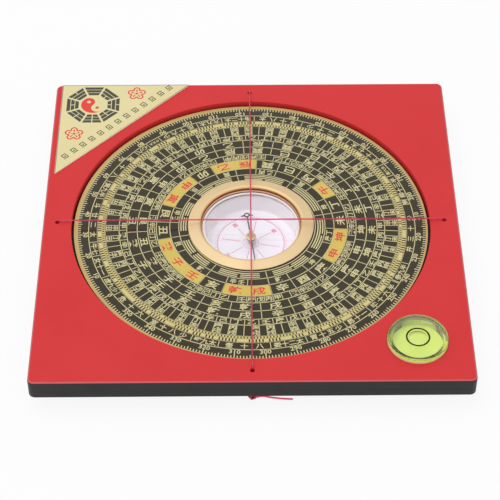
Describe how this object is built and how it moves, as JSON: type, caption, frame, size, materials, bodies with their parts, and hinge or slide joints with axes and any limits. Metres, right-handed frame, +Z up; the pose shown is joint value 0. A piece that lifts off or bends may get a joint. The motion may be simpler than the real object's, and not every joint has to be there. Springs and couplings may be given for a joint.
{
  "type": "feng shui compass",
  "caption": "Square lacquered board compass with a turning printed ring dial, a needle capsule, crossed sighting strings and a round spirit level.",
  "frame": {"origin": "on the ground, under the middle of the square board", "axes": "+Z up; +Y from the near edge, where the level is, to the far edge, where the label is; +X to the right"},
  "size_m": [0.143, 0.143, 0.0143],
  "materials": {
    "black_lacquer": "satin black lacquer on board",
    "red_lacquer": "satin red lacquer on board",
    "foot_rubber": "moulded matt",
    "label_paper": "varnished cream gold",
    "nylon": "plain",
    "turntable_plastic": "plain black",
    "dial_enamel": "black enamel with gold print",
    "white_plastic": "glossy white",
    "card_paper": "white with thin red print",
    "capsule_glass": "clear",
    "gasket_rubber": "ivory",
    "brass": "spun and polished",
    "steel": "plain",
    "needle_steel": "blued black",
    "clear_acrylic": "clear moulded acrylic",
    "level_liquid": "yellow-green liquid",
    "level_backing": "pale yellow-green",
    "red_string": "red nylon line"
  },
  "bodies": {
    "board": {"base_board": "black_lacquer", "top_panel": "red_lacquer", "foot_front_left": "foot_rubber", "foot_front_right": "foot_rubber", "foot_back_left": "foot_rubber", "foot_back_right": "foot_rubber", "corner_label": "label_paper", "thrust_washer": "nylon", "level_body": "clear_acrylic", "level_lens": "clear_acrylic", "level_liquid": "level_liquid", "level_backing": "level_backing", "string_across": "red_string", "string_along": "red_string", "knot_left": "red_string", "knot_right": "red_string", "knot_back": "red_string", "knot_front": "red_string", "spare_end": "red_string"},
    "dial": {"turntable_disc": "turntable_plastic", "dial_plate": "dial_enamel", "capsule_cup": "white_plastic", "capsule_card": "card_paper", "capsule_glass": "capsule_glass", "glass_gasket": "gasket_rubber", "bezel_ring": "brass", "retaining_ring": "steel", "pivot_pin": "steel"},
    "needle": {"needle_blade": "needle_steel", "needle_cap": "brass"}
  },
  "joints": [
    {"name": "dial_spin", "type": "hinge", "parent": "board", "child": "dial", "pos_m": [0, 0, 0.0087], "axis": [0, 0, 1], "continuous": true},
    {"name": "needle_swing", "type": "hinge", "parent": "dial", "child": "needle", "pos_m": [0, 0, 0.0043], "axis": [0, 0, 1], "continuous": true}
  ]
}
